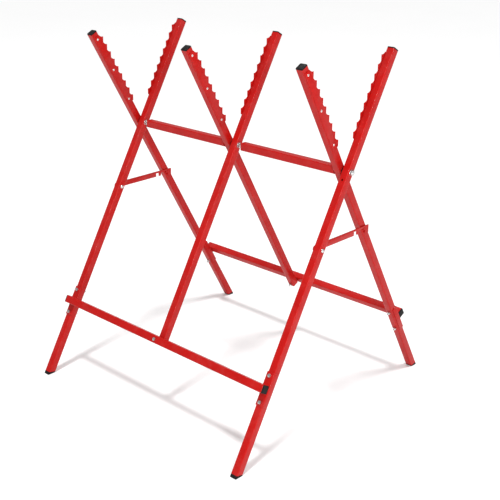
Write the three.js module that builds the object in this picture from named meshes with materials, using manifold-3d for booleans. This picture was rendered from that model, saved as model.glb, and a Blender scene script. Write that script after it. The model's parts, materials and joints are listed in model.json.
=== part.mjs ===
// Folding steel log sawhorse: three crossed pairs of square-tube legs that turn on one axis,
// toothed arms above the axis, two lower crossbars and two locking spreader bars.
// Millimetres, +Z up, +X along the log, +Y from the front legs' feet to the rear legs' feet.
// The origin is on the floor, at the middle of the overall box.

import * as THREE from 'three';
import { mergeVertices } from 'three/addons/utils/BufferGeometryUtils.js';
import Module from 'manifold-3d';

const wasm = await Module();
wasm.setup();

// ---------------------------------------------------------------- driving dimensions

const BAY = 361;                 // spacing of the three leg pairs along the log
const PIVOT_HEIGHT = 644;        // height of the fold axis when open
const FRONT_ANGLE = 30.2;        // lean of the front legs from upright when open, degrees
const REAR_ANGLE = 29.05;        // lean of the rear legs
const FRONT_ARM = 304.5;         // front leg tube above the fold axis
const REAR_ARM = 294;            // rear leg tube above the fold axis

const TUBE = 20;                 // outside width of every square tube
const TUBE_WALL = 1.5;
const TUBE_CORNER = 2.5;         // outside corner radius of the tube
const LEG_GAP = 4.4;             // space between the two legs of a pair

const CLEARANCE = 0.3;           // gap kept where two pieces touch
const HOLE_PLAY = 0.6;           // how much wider a hole is than its bolt

const CROSSBAR_DROP = 535;       // distance along the leg from the fold axis to the crossbar
const MIDDLE_LEG_END = 7;        // how far a middle leg reaches past its crossbar's centre line
const PLUG_HEAD = 2.5;           // thickness of a plug's head, seen at a tube's end
const PLUG_DEPTH = 12;           // how far a plug reaches into its tube
const ARM_CAP_HEAD = 3;
const FOOT_THIN = 2.5;           // height of a foot cap's wedge along the leg's inner face
const FOOT_CUT = 17;             // how far the tube's lower end is cut from square, degrees

const SADDLE_SHEET = 2;
const SADDLE_LENGTH = 82;
const SADDLE_FLANGE = 15;        // how far the saddle's sides reach along the leg's sides
const SADDLE_BOLT_SPACING = 65;

const PIVOT_BOLT = 8;            // shank diameter
const PIVOT_HEAD_FLATS = 13;
const PIVOT_HEAD_HEIGHT = 5.3;
const PIVOT_NUT_HEIGHT = 6.5;
const PIVOT_TIP = 8;             // how far the last bolt reaches past the leg's face
const SPACER_DIAMETER = 14;

const FRAME_BOLT = 5;            // bolts of the saddles and of the middle legs
const FRAME_HEAD_FLATS = 8;
const FRAME_HEAD_HEIGHT = 3.5;
const FRAME_NUT_HEIGHT = 4;
const FRAME_BOLT_TIP = 4.5;      // thread that shows past the nut
const PACKING_DIAMETER = 12;     // collar between a crossbar and a middle leg

const RAIL_STANDOFF = 15;        // from a front leg's side to the rail that hangs on its bolt
const RAIL_END_PLATE = 3;
const RAIL_BOLT_REACH = 8;       // how far the pivot bolt reaches into the rail

const TEETH_SHEET = 1.5;
const TEETH_COUNT = 9;
const TEETH_PITCH = 24;
const TIP_BELOW_END = 22;        // from the arm tube's end down to the highest tooth tip
const TIP_REACH = 18.5;          // tooth tip, measured from the leg's centre line
const VALLEY_REACH = 11;         // bottom of the bite between two teeth
const VALLEY_SHARE = 0.55;       // where in a pitch the bite is deepest, below its tip
const TEETH_BACK = 8.5;          // back edge of the plate, from the leg's centre line
const TEETH_TOP_MARGIN = 11;     // plate above the highest tip
const TEETH_FOOT_MARGIN = 14;    // plate below the lowest tip
const RIVET = 4;
const RIVET_BELOW_END = 19;      // from the arm tube's end down to the highest rivet
const RIVET_SPACING = 98;
const RIVET_COUNT = 3;

const SPREADER_DROP = 192;       // distance along the front leg to the spreader's own pivot
const SPREADER_SHEET = 3;
const SPREADER_HEIGHT = 15;      // also the width of the round end at its pivot
const SPREADER_RIVET = 6;
const SPREADER_RIVET_HEAD = 10;
const SPREADER_RIVET_DOME = 3;
const SPREADER_TAIL = 9;         // diameter of the rivet's set end, sunk in the spreader
const SPREADER_TAIL_DEPTH = 1;
const RELIEF_START = 145;        // from the spreader's pivot to its first bite
const RELIEF_WIDTH = 11;
const TOOTH_WIDTH = 7.5;
const HOOK_START = 189;          // from the spreader's pivot to the hook that holds the stud
const HOOK_WIDTH = 14;
const HOOK_BOTTOM = 12;          // how far the hook hangs below the spreader's centre line
const STRIP_HEIGHT = 5;          // strip left above the bites
const STUD = 6;
const STUD_COLLAR = 9;
const STUD_COLLAR_DEPTH = 1.5;

const SPARE_HOLE = 5;            // hanging hole in the outer face of each frame's last leg
const SPARE_HOLE_DROP = 23;      // below the fold axis

// ---------------------------------------------------------------- worked-out sizes

const half = TUBE / 2;
const footCut = THREE.MathUtils.degToRad(FOOT_CUT);
const root = 1;                                   // how far joined shapes reach into each other
const laneOffset = (TUBE + LEG_GAP) / 2;          // a leg's centre line from its pair's middle
const bore = TUBE - 2 * TUBE_WALL;
const crossbarOut = half + SADDLE_SHEET + half;   // crossbar's centre line from the leg's
const outerSide = laneOffset + half;              // a leg pair's outer face from its middle
const headReach = outerSide + CLEARANCE + PIVOT_HEAD_HEIGHT;
const tipReach = outerSide + PIVOT_TIP;
const shiftAlong = (headReach - tipReach) / 2;     // centres the overall box on the origin

// The rear frame is a front frame turned half round about the upright, so its `flip` is -1.
const frontFrame = { name: 'front', turn: 0, flip: 1, arm: FRONT_ARM };
frontFrame.lean = THREE.MathUtils.degToRad(FRONT_ANGLE);
const rearFrame = { name: 'rear', turn: Math.PI, flip: -1, arm: REAR_ARM };
rearFrame.lean = THREE.MathUtils.degToRad(REAR_ANGLE);
for (const kind of [frontFrame, rearFrame]) {
  kind.footDrop = PIVOT_HEIGHT / Math.cos(kind.lean);   // along the leg, fold axis to floor
  kind.footReach = PIVOT_HEIGHT * Math.tan(kind.lean) + half / Math.cos(kind.lean);
}
const shiftAcross = (frontFrame.footReach - rearFrame.footReach) / 2;

const stations = [
  { name: 'left', x: -BAY, outer: true },
  { name: 'middle', x: 0, outer: false },
  { name: 'right', x: BAY, outer: true },
];

// ---------------------------------------------------------------- finishes

const redPaint = () => new THREE.MeshStandardMaterial({ color: 0xc8161a, roughness: 0.38, metalness: 0.1 });
const zinc = () => new THREE.MeshStandardMaterial({ color: 0xc4c6c8, roughness: 0.35, metalness: 0.9 });
const blackPlastic = () => new THREE.MeshStandardMaterial({ color: 0x141414, roughness: 0.6, metalness: 0 });

// ---------------------------------------------------------------- solids

function toSolid(geometry) {
  const bare = geometry.index ? geometry.toNonIndexed() : geometry.clone();
  bare.deleteAttribute('normal');
  bare.deleteAttribute('uv');
  const merged = mergeVertices(bare, 1e-4);
  return new wasm.Manifold(new wasm.Mesh({
    numProp: 3,
    vertProperties: new Float32Array(merged.attributes.position.array),
    triVerts: new Uint32Array(merged.index.array),
  }));
}

function toGeometry(solid) {
  const mesh = solid.getMesh();
  const geometry = new THREE.BufferGeometry();
  geometry.setAttribute('position', new THREE.BufferAttribute(new Float32Array(mesh.vertProperties), 3));
  geometry.setIndex(new THREE.BufferAttribute(new Uint32Array(mesh.triVerts), 1));
  geometry.computeVertexNormals();
  return geometry;
}

function moved(geometry, x, y, z) {
  return geometry.translate(x, y, z);
}

// A geometry made along Z is laid along X or Y; its near end stays at the origin.
const alongX = (geometry) => geometry.rotateY(Math.PI / 2);
const alongY = (geometry) => geometry.rotateX(-Math.PI / 2);

function roundedSquare(width, depth, corner, Kind = THREE.Shape) {
  const x = width / 2;
  const y = depth / 2;
  const outline = new Kind();
  outline.moveTo(x, -y + corner);
  outline.lineTo(x, y - corner);
  outline.absarc(x - corner, y - corner, corner, 0, Math.PI / 2, false);
  outline.lineTo(-x + corner, y);
  outline.absarc(-x + corner, y - corner, corner, Math.PI / 2, Math.PI, false);
  outline.lineTo(-x, -y + corner);
  outline.absarc(-x + corner, -y + corner, corner, Math.PI, 1.5 * Math.PI, false);
  outline.lineTo(x - corner, -y);
  outline.absarc(x - corner, -y + corner, corner, 1.5 * Math.PI, 2 * Math.PI, false);
  return outline;
}

function extruded(shape, length, curveSegments = 2) {
  return new THREE.ExtrudeGeometry(shape, { depth: length, bevelEnabled: false, curveSegments });
}

function block(width, depth, length, corner) {
  return extruded(roundedSquare(width, depth, corner), length);
}

function tube(length) {
  const shape = roundedSquare(TUBE, TUBE, TUBE_CORNER);
  shape.holes.push(roundedSquare(bore, bore, TUBE_CORNER - TUBE_WALL, THREE.Path));
  return extruded(shape, length);
}

function rod(diameter, length, sides = 12) {
  const round = new THREE.CylinderGeometry(diameter / 2, diameter / 2, length, sides);
  return round.rotateX(Math.PI / 2).translate(0, 0, length / 2);
}

function hexagon(flats, length) {
  return rod(flats / Math.cos(Math.PI / 6), length, 6);
}

function dome(diameter, height, rings = 4) {
  const profile = [new THREE.Vector2(0, 0), new THREE.Vector2(diameter / 2, 0)];
  for (let i = 1; i < rings; i += 1) {
    const turn = (i / rings) * (Math.PI / 2);
    profile.push(new THREE.Vector2((diameter / 2) * Math.cos(turn), height * Math.sin(turn)));
  }
  profile.push(new THREE.Vector2(0, height));
  return new THREE.LatheGeometry(profile, 12).rotateX(Math.PI / 2);
}

function joined(geometries) {
  return geometries.map(toSolid).reduce((whole, piece) => whole.add(piece));
}

function cut(solid, geometries) {
  return geometries.map(toSolid).reduce((rest, tool) => rest.subtract(tool), solid);
}

function named(name, solid, material) {
  const mesh = new THREE.Mesh(toGeometry(solid), material);
  mesh.name = name;
  return mesh;
}

// ---------------------------------------------------------------- legs

// Legs, caps, plates and bolts are made in a frame's own axes: the fold axis is X through the
// origin, Z runs up the leaning arm, and -Y is the frame's outer side. A hole tool runs
// right through the tube unless it is told to stop at one wall.

const through = TUBE + 2;

function sideHole(diameter, height, across = 0, oneWall = false) {
  const length = oneWall ? half : through;
  return moved(alongX(rod(diameter, length)), -half - 1, across, height);
}

function faceHole(diameter, height, oneWall = false) {
  const length = oneWall ? half : through;
  return moved(alongY(rod(diameter, length)), 0, -half - 1, height);
}

// Everything below the floor near a leg's end, in the frame's own axes.
function belowFloor(kind) {
  const slab = moved(new THREE.BoxGeometry(4 * TUBE, 6 * TUBE, 4 * TUBE), 0, 0, -2 * TUBE);
  return moved(slab.rotateX(kind.lean), 0, 0, -kind.footDrop);
}

// Everything on one side of the leg tube's cut end: `side` is -1 for below it, 1 for above.
function pastLegEnd(kind, side, clear) {
  const taper = Math.tan(kind.lean) - Math.tan(footCut);
  const height = -kind.footDrop + FOOT_THIN + half * taper;
  const slab = moved(new THREE.BoxGeometry(4 * TUBE, 6 * TUBE, 4 * TUBE), 0, 0, side * 2 * TUBE);
  return moved(slab.rotateX(footCut), 0, 0, height + clear);
}

function rivetHeights(kind) {
  return Array.from({ length: RIVET_COUNT }, (_, i) => kind.arm - RIVET_BELOW_END - i * RIVET_SPACING);
}

function saddleBoltHeights() {
  const offset = SADDLE_BOLT_SPACING / 2;
  return { upper: -CROSSBAR_DROP + offset, lower: -CROSSBAR_DROP - offset };
}

function leg(kind, outer, extraHoles) {
  const bottom = outer ? kind.footDrop + TUBE : CROSSBAR_DROP + MIDDLE_LEG_END;
  const body = toSolid(moved(tube(bottom + kind.arm), 0, 0, -bottom));
  const holes = [
    sideHole(PIVOT_BOLT + HOLE_PLAY, 0),
    ...rivetHeights(kind).map((height) => sideHole(RIVET + HOLE_PLAY, height, 0, true)),
    ...extraHoles,
  ];
  if (outer) {
    const heights = Object.values(saddleBoltHeights());
    holes.push(...heights.map((height) => faceHole(FRAME_BOLT + HOLE_PLAY, height)));
    holes.push(pastLegEnd(kind, -1, CLEARANCE));
  } else {
    holes.push(faceHole(FRAME_BOLT + HOLE_PLAY, -CROSSBAR_DROP));
  }
  return cut(body, holes);
}

function armCap(kind) {
  const insert = bore - 2 * CLEARANCE;
  const plug = block(insert, insert, PLUG_DEPTH + root, TUBE_CORNER - TUBE_WALL);
  const head = block(TUBE, TUBE, ARM_CAP_HEAD, TUBE_CORNER);
  return joined([
    moved(plug, 0, 0, kind.arm + CLEARANCE - PLUG_DEPTH),
    moved(head, 0, 0, kind.arm + CLEARANCE),
  ]);
}

// A foot is a wedge of the leg's section that stands flat on the floor, with a plug above it
// in the tube.
function footCap(kind) {
  const insert = bore - 2 * CLEARANCE;
  const start = -kind.footDrop - TUBE;
  const wedge = cut(toSolid(moved(block(TUBE, TUBE, 3 * TUBE, TUBE_CORNER), 0, 0, start)),
    [belowFloor(kind), pastLegEnd(kind, 1, 0)]);
  const plug = cut(toSolid(moved(block(insert, insert, 3 * TUBE, TUBE_CORNER - TUBE_WALL), 0, 0, start)),
    [belowFloor(kind), pastLegEnd(kind, 1, PLUG_DEPTH)]);
  return wedge.add(plug);
}

// ---------------------------------------------------------------- toothed plates

function teethOutline(firstTip) {
  const outline = new THREE.Shape();
  const lastTip = firstTip - (TEETH_COUNT - 1) * TEETH_PITCH;
  const top = firstTip + TEETH_TOP_MARGIN;
  outline.moveTo(TEETH_BACK, lastTip - TEETH_FOOT_MARGIN);
  outline.lineTo(TEETH_BACK, top);
  outline.lineTo(-VALLEY_REACH + 2, top);
  outline.quadraticCurveTo(-VALLEY_REACH, firstTip + 3, -TIP_REACH, firstTip);
  for (let i = 0; i < TEETH_COUNT; i += 1) {
    const tip = firstTip - i * TEETH_PITCH;
    const valley = tip - VALLEY_SHARE * TEETH_PITCH;
    const nextTip = tip - TEETH_PITCH;
    outline.lineTo(-VALLEY_REACH, valley);
    if (i < TEETH_COUNT - 1) {
      outline.quadraticCurveTo(-VALLEY_REACH - 1.5, nextTip + 3, -TIP_REACH, nextTip);
    }
  }
  outline.closePath();
  return outline;
}

// The plate lies on the leg's inner side, in the gap between the two legs of a pair.
function toothedPlate(kind) {
  const flat = extruded(teethOutline(kind.arm - TIP_BELOW_END), TEETH_SHEET, 3);
  flat.applyMatrix4(new THREE.Matrix4().makeBasis(
    new THREE.Vector3(0, 1, 0), new THREE.Vector3(0, 0, 1), new THREE.Vector3(1, 0, 0)));
  const plate = toSolid(moved(flat, -half - CLEARANCE - TEETH_SHEET, 0, 0));
  const holes = rivetHeights(kind).map((height) => moved(alongX(rod(RIVET + HOLE_PLAY, 2 * TEETH_SHEET)),
    -half - 2 * TEETH_SHEET, 0, height));
  return cut(plate, holes);
}

// ---------------------------------------------------------------- crossbars and their fixings

const crossbarLength = 2 * BAY + TUBE - 2 * (PLUG_HEAD + CLEARANCE);

function crossbar() {
  const start = laneOffset - crossbarLength / 2;
  const body = toSolid(moved(alongX(tube(crossbarLength)), start, -crossbarOut, -CROSSBAR_DROP));
  const hole = alongY(rod(FRAME_BOLT + HOLE_PLAY, through));
  return cut(body, [moved(hole, laneOffset, -crossbarOut - half - 1, -CROSSBAR_DROP)]);
}

function crossbarPlug(endSide) {
  const end = laneOffset + endSide * (crossbarLength / 2 + CLEARANCE);
  const insert = bore - 2 * CLEARANCE;
  const plug = alongX(block(insert, insert, PLUG_DEPTH + root, TUBE_CORNER - TUBE_WALL));
  const head = alongX(block(TUBE, TUBE, PLUG_HEAD, TUBE_CORNER));
  const plugStart = endSide > 0 ? end - PLUG_DEPTH : end - root;
  const headStart = endSide > 0 ? end : end - PLUG_HEAD;
  return joined([
    moved(plug, plugStart, -crossbarOut, -CROSSBAR_DROP),
    moved(head, headStart, -crossbarOut, -CROSSBAR_DROP),
  ]);
}

// A U-shaped saddle is welded inside the crossbar and grips the leg's outer face and two sides.
function saddle(x) {
  const inside = TUBE + 2 * CLEARANCE;
  const sheet = SADDLE_SHEET - 2 * CLEARANCE;
  const width = inside + 2 * sheet;
  const depth = sheet + CLEARANCE + SADDLE_FLANGE;
  const outer = new THREE.BoxGeometry(width, depth, SADDLE_LENGTH);
  const inner = new THREE.BoxGeometry(inside, depth, SADDLE_LENGTH + 2);
  const outerFace = -half - CLEARANCE - sheet;
  const heights = Object.values(saddleBoltHeights());
  const body = toSolid(moved(outer, x, outerFace + depth / 2, -CROSSBAR_DROP));
  return cut(body, [
    moved(inner, x, outerFace + sheet + depth / 2, -CROSSBAR_DROP),
    ...heights.map((height) => moved(alongY(rod(FRAME_BOLT + HOLE_PLAY, 8)), x, outerFace - 4, height)),
  ]);
}

// A hexagon bolt with its nut run on, along Y. The head's seat is at `seat`, the nut's at `grip`
// further in. A packing collar fills the space between a crossbar and a leg with no saddle.
function frameBolt(x, seat, grip, height, collar) {
  const packing = moved(alongY(rod(PACKING_DIAMETER, SADDLE_SHEET - 2 * CLEARANCE)),
    x, -half - SADDLE_SHEET + CLEARANCE, height);
  return joined([
    ...(collar ? [packing] : []),
    moved(alongY(hexagon(FRAME_HEAD_FLATS, FRAME_HEAD_HEIGHT)), x, seat - FRAME_HEAD_HEIGHT, height),
    moved(alongY(rod(FRAME_BOLT, root + grip + FRAME_NUT_HEIGHT + FRAME_BOLT_TIP)), x, seat - root, height),
    moved(alongY(hexagon(FRAME_HEAD_FLATS, FRAME_NUT_HEIGHT)), x, seat + grip, height),
  ]);
}

// ---------------------------------------------------------------- spreaders

// The spreader's own axes: its pivot is the origin, Y runs towards the rear leg and Z up.
// The first bite and the hook are open below, so that it lifts off the rear leg's stud.
function spreaderOutline() {
  const h = SPREADER_HEIGHT / 2;
  const strip = h - STRIP_HEIGHT;
  const reliefEnd = RELIEF_START + RELIEF_WIDTH;
  const outline = new THREE.Shape();
  outline.moveTo(HOOK_START + HOOK_WIDTH, h);
  outline.lineTo(0, h);
  outline.absarc(0, 0, h, Math.PI / 2, 1.5 * Math.PI, false);
  outline.lineTo(RELIEF_START, -h);
  outline.lineTo(RELIEF_START, strip);
  outline.lineTo(reliefEnd, strip);
  outline.lineTo(reliefEnd, -h);
  outline.lineTo(reliefEnd + TOOTH_WIDTH, -h);
  outline.lineTo(reliefEnd + TOOTH_WIDTH, strip);
  outline.lineTo(HOOK_START, strip);
  outline.lineTo(HOOK_START, -HOOK_BOTTOM);
  outline.lineTo(HOOK_START + HOOK_WIDTH, -HOOK_BOTTOM);
  outline.closePath();
  return outline;
}

const spreaderPivot = {
  y: -SPREADER_DROP * Math.sin(frontFrame.lean),
  z: PIVOT_HEIGHT - SPREADER_DROP * Math.cos(frontFrame.lean),
};

// The stud hangs under the spreader's strip and against its hook, on the rear leg.
const studPlace = {
  y: spreaderPivot.y + HOOK_START - STUD / 2 - CLEARANCE,
  z: spreaderPivot.z + SPREADER_HEIGHT / 2 - STRIP_HEIGHT - STUD / 2 - CLEARANCE,
};

// The same place in the rear frame's own axes.
const studRise = studPlace.z - PIVOT_HEIGHT;
const studAcross = -studPlace.y * Math.cos(rearFrame.lean) - studRise * Math.sin(rearFrame.lean);
const studHeight = studRise * Math.cos(rearFrame.lean) - studPlace.y * Math.sin(rearFrame.lean);

function spreader(x) {
  const flat = extruded(spreaderOutline(), SPREADER_SHEET, 10);
  flat.applyMatrix4(new THREE.Matrix4().makeBasis(
    new THREE.Vector3(0, 1, 0), new THREE.Vector3(0, 0, 1), new THREE.Vector3(1, 0, 0)));
  const start = -SPREADER_SHEET / 2;
  const body = toSolid(moved(flat, start, 0, 0));
  const sunk = SPREADER_TAIL_DEPTH + CLEARANCE;
  const bored = cut(body, [
    moved(alongX(rod(SPREADER_RIVET + HOLE_PLAY, 2 * SPREADER_SHEET)), 2 * start, 0, 0),
    moved(alongX(rod(SPREADER_TAIL + HOLE_PLAY, sunk + 1)), start - 1, 0, 0),
  ]);
  return bored.translate([x, spreaderPivot.y, spreaderPivot.z]);
}

// Made in the front frame's own axes: a domed head on the leg's outer side and a set end
// sunk in the spreader.
function spreaderRivet(x) {
  const tailStart = x - laneOffset - SPREADER_SHEET / 2;
  const headSeat = x + half + CLEARANCE;
  return joined([
    moved(alongX(rod(SPREADER_TAIL, SPREADER_TAIL_DEPTH)), tailStart, 0, -SPREADER_DROP),
    moved(alongX(rod(SPREADER_RIVET, headSeat + root - tailStart)), tailStart, 0, -SPREADER_DROP),
    moved(alongX(dome(SPREADER_RIVET_HEAD, SPREADER_RIVET_DOME)), headSeat, 0, -SPREADER_DROP),
  ]);
}

// Made in the rear frame's own axes. Its collar sits inside the leg's inner wall.
function catchStud(x) {
  const wallInside = x - half + TUBE_WALL + CLEARANCE;
  const outEnd = x - laneOffset - SPREADER_SHEET / 2;
  return joined([
    moved(alongX(rod(STUD, wallInside + STUD_COLLAR_DEPTH - outEnd)), outEnd, studAcross, studHeight),
    moved(alongX(rod(STUD_COLLAR, STUD_COLLAR_DEPTH)), wallInside, studAcross, studHeight),
  ]);
}

// ---------------------------------------------------------------- one frame of three legs

function frame(kind) {
  const group = new THREE.Group();
  const isFront = kind === frontFrame;
  for (const station of stations) {
    const x = kind.flip * station.x + laneOffset;
    const tag = `${kind.name}_${station.name}`;
    const extra = [];
    const isEnd = kind.flip * station.x > 0;
    if (isEnd) extra.push(faceHole(SPARE_HOLE, -SPARE_HOLE_DROP, true));
    if (station.outer && isFront) extra.push(sideHole(SPREADER_RIVET + HOLE_PLAY, -SPREADER_DROP));
    if (station.outer && !isFront) extra.push(sideHole(STUD + HOLE_PLAY, studHeight, studAcross, true));
    const shift = [x, 0, 0];
    group.add(named(`${tag}_leg`, leg(kind, station.outer, extra).translate(shift), redPaint()));
    group.add(named(`${tag}_arm_cap`, armCap(kind).translate(shift), blackPlastic()));
    group.add(named(`${tag}_toothed_plate`, toothedPlate(kind).translate(shift), redPaint()));
    if (station.outer) {
      group.add(named(`${tag}_foot`, footCap(kind).translate(shift), blackPlastic()));
      group.add(named(`${tag}_saddle`, saddle(x), redPaint()));
      const seat = -half - SADDLE_SHEET;
      for (const [place, height] of Object.entries(saddleBoltHeights())) {
        const bolt = frameBolt(x, seat, TUBE + SADDLE_SHEET + CLEARANCE, height, false);
        group.add(named(`${tag}_saddle_bolt_${place}`, bolt, zinc()));
      }
    } else {
      const seat = -crossbarOut - half - CLEARANCE;
      const grip = crossbarOut + TUBE + 2 * CLEARANCE;
      const bolt = frameBolt(x, seat, grip, -CROSSBAR_DROP, true);
      group.add(named(`${tag}_leg_bolt`, bolt, zinc()));
    }
    if (station.outer && isFront) {
      group.add(named(`${station.name}_spreader_rivet`, spreaderRivet(x), zinc()));
    }
    if (station.outer && !isFront) {
      group.add(named(`${station.name}_catch_stud`, catchStud(x), redPaint()));
    }
  }
  group.add(named(`${kind.name}_crossbar`, crossbar(), redPaint()));
  for (const [side, name] of [[-1, 'left'], [1, 'right']]) {
    const plug = crossbarPlug(kind.flip * side);
    group.add(named(`${kind.name}_crossbar_plug_${name}`, plug, blackPlastic()));
  }
  group.rotation.set(-kind.lean, 0, kind.turn, 'ZYX');
  group.position.set(shiftAlong, shiftAcross, PIVOT_HEIGHT);
  return group;
}

// ---------------------------------------------------------------- pivots and rails

function pivotBolt(station) {
  const isLast = station.name === 'right';
  const start = -outerSide - CLEARANCE;
  const end = isLast ? outerSide + PIVOT_TIP : outerSide + RAIL_STANDOFF + RAIL_BOLT_REACH;
  return joined([
    moved(alongX(hexagon(PIVOT_HEAD_FLATS, PIVOT_HEAD_HEIGHT)), start - PIVOT_HEAD_HEIGHT, 0, 0),
    moved(alongX(rod(PIVOT_BOLT, end - start + root)), start - root, 0, 0),
  ]);
}

function pivotNut() {
  const start = outerSide + CLEARANCE;
  const body = toSolid(moved(alongX(hexagon(PIVOT_HEAD_FLATS, PIVOT_NUT_HEIGHT)), start, 0, 0));
  return cut(body, [moved(alongX(rod(PIVOT_BOLT + HOLE_PLAY, PIVOT_NUT_HEIGHT + 2)), start - 1, 0, 0)]);
}

function pivotSpacer() {
  const width = LEG_GAP - 2 * CLEARANCE;
  const body = toSolid(moved(alongX(rod(SPACER_DIAMETER, width, 24)), -width / 2, 0, 0));
  return cut(body, [moved(alongX(rod(PIVOT_BOLT + HOLE_PLAY, width + 2)), -width / 2 - 1, 0, 0)]);
}

// A rail runs from the bolt end beside one front leg to the next rear leg, which it is fixed to.
function rail(station) {
  const start = station.x + outerSide + RAIL_STANDOFF;
  const end = station.x + BAY - outerSide - CLEARANCE;
  const length = end - start;
  const inside = bore + TUBE_WALL;
  const plate = toSolid(moved(alongX(block(inside, inside, RAIL_END_PLATE, TUBE_CORNER - TUBE_WALL)),
    start, 0, 0));
  const drilled = cut(plate, [moved(alongX(rod(PIVOT_BOLT + HOLE_PLAY, RAIL_END_PLATE + 2)), start - 1, 0, 0)]);
  return toSolid(moved(alongX(tube(length)), start, 0, 0)).add(drilled);
}

function foldAxis() {
  const group = new THREE.Group();
  for (const station of stations) {
    const place = [station.x, 0, 0];
    group.add(named(`${station.name}_pivot_bolt`, pivotBolt(station).translate(place), zinc()));
    group.add(named(`${station.name}_pivot_nut`, pivotNut().translate(place), zinc()));
    group.add(named(`${station.name}_pivot_spacer`, pivotSpacer().translate(place), blackPlastic()));
  }
  group.add(named('left_rail', rail(stations[0]), redPaint()));
  group.add(named('right_rail', rail(stations[1]), redPaint()));
  group.position.set(shiftAlong, shiftAcross, PIVOT_HEIGHT);
  return group;
}

// ---------------------------------------------------------------- the sawhorse

const sawhorse = new THREE.Group();
sawhorse.add(frame(frontFrame));
sawhorse.add(frame(rearFrame));
sawhorse.add(foldAxis());
for (const station of stations.filter((place) => place.outer)) {
  const bar = named(`${station.name}_spreader`, spreader(station.x), redPaint());
  bar.position.set(shiftAlong, shiftAcross, 0);
  sawhorse.add(bar);
}

export default sawhorse;
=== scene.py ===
import json
import math

import bmesh
import bpy
from mathutils import Matrix, Vector


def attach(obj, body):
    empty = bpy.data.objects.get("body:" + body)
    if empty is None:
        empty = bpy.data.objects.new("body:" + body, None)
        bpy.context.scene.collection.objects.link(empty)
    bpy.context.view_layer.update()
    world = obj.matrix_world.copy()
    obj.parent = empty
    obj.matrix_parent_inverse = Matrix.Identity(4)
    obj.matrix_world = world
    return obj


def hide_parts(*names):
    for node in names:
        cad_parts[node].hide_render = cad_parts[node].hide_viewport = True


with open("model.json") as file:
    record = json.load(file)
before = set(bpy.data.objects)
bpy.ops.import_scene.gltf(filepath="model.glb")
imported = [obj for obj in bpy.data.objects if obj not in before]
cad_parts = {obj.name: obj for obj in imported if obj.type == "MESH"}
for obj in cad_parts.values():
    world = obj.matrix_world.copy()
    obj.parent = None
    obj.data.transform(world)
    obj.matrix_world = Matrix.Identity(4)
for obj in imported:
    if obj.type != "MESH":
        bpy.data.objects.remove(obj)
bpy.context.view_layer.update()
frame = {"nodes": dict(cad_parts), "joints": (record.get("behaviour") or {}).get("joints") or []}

MM = 0.001

# ------------------------------------------------------------------ the sawhorse's sizes

FOLD_AXIS = Vector(next(j for j in frame["joints"] if j["name"] == "fold")["pos_m"])
BAY = 361 * MM
FRONT_LEAN = math.radians(30.2)
REAR_LEAN = math.radians(29.05)
FRONT_ARM = 304.5 * MM
REAR_ARM = 294 * MM
TUBE = 20 * MM
WALL = 1.5 * MM
CORNER = 2.5 * MM
LEG_GAP = 4.4 * MM
GAP = 0.3 * MM                      # left between pieces that touch
CROSSBAR_DROP = 535 * MM            # along a leg, from the fold axis down to its crossbar
MIDDLE_LEG_END = 7 * MM             # how far a middle leg reaches past its crossbar's centre line
TIP_BELOW_END = 22 * MM             # from an arm tube's end down to its highest tooth
TOOTH_COUNT = 9
TOOTH_PITCH = 24 * MM
TOOTH_SHEET = 1.5 * MM
TIP_REACH = 18.5 * MM               # a tooth's tip, from the leg's centre line
VALLEY_REACH = 11 * MM              # the bottom of a bite, from the leg's centre line
VALLEY_SHARE = 0.55                 # where in a pitch a bite is deepest, below its tip
PLATE_BACK = 8.5 * MM               # a toothed plate's back edge, from the leg's centre line
PLATE_TOP_MARGIN = 11 * MM
PLATE_FOOT_MARGIN = 14 * MM
RIVET_RADIUS = 2.9 * MM
RIVET_HEIGHT = 0.55 * MM
RIVET_BELOW_END = 19 * MM
RIVET_SPACING = 98 * MM
PLUG_DEPTH = 12 * MM                # how far a plug reaches into its tube
PLUG_PLAY = 0.6 * MM                # how much narrower a plug is than its tube's bore
PLUG_HEAD = 2.5 * MM                # the head of a crossbar's plug
PIVOT_BOLT = 8 * MM
PIVOT_FLATS = 13 * MM
PIVOT_HEAD = 5.3 * MM
PIVOT_TIP = 8 * MM                  # how far the last pivot bolt reaches past its leg
PIVOT_REACH = 23 * MM               # how far the others reach past theirs, into a rail's end
RAIL_STANDOFF = 15 * MM             # from a leg's side to the rail that hangs on its bolt
FRAME_BOLT = 5 * MM
FRAME_FLATS = 8 * MM
FRAME_HEAD = 3.5 * MM
FRAME_NUT = 4 * MM
FRAME_TIP = 4.5 * MM                # thread that shows past a frame bolt's nut
SADDLE_SHEET = 2 * MM
SADDLE_LENGTH = 82 * MM
SADDLE_FLANGE = 15 * MM
SADDLE_BOLT_SPACING = 65 * MM
FOOT_THIN = 2.5 * MM
FOOT_CUT = math.radians(17)
SPREADER_DROP = 192 * MM            # along a front leg, from the fold axis to its spreader
SPREADER_SHEET = 3 * MM
SPARE_HOLE = 5 * MM                 # the hanging hole in each frame's last leg
SPARE_HOLE_DROP = 23 * MM

HALF = TUBE / 2
LANE = (TUBE + LEG_GAP) / 2         # a leg's centre line from the middle of its pair
OUT = HALF + SADDLE_SHEET + HALF    # a crossbar's centre line from its legs'
OUTER = LANE + HALF                 # a leg pair's outer face from its middle
STATIONS = [("left", -1, True), ("middle", 0, False), ("right", 1, True)]

# A frame's own axes: X along the fold axis, Z up the leaning arm, -Y its outer side.
AXIS = Matrix.Translation(FOLD_AXIS)
HALF_TURN = Matrix.Rotation(math.pi, 4, "Z")
FRONT = AXIS @ Matrix.Rotation(-FRONT_LEAN, 4, "X")
REAR = AXIS @ HALF_TURN @ Matrix.Rotation(-REAR_LEAN, 4, "X")


# ------------------------------------------------------------------ camera

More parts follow.
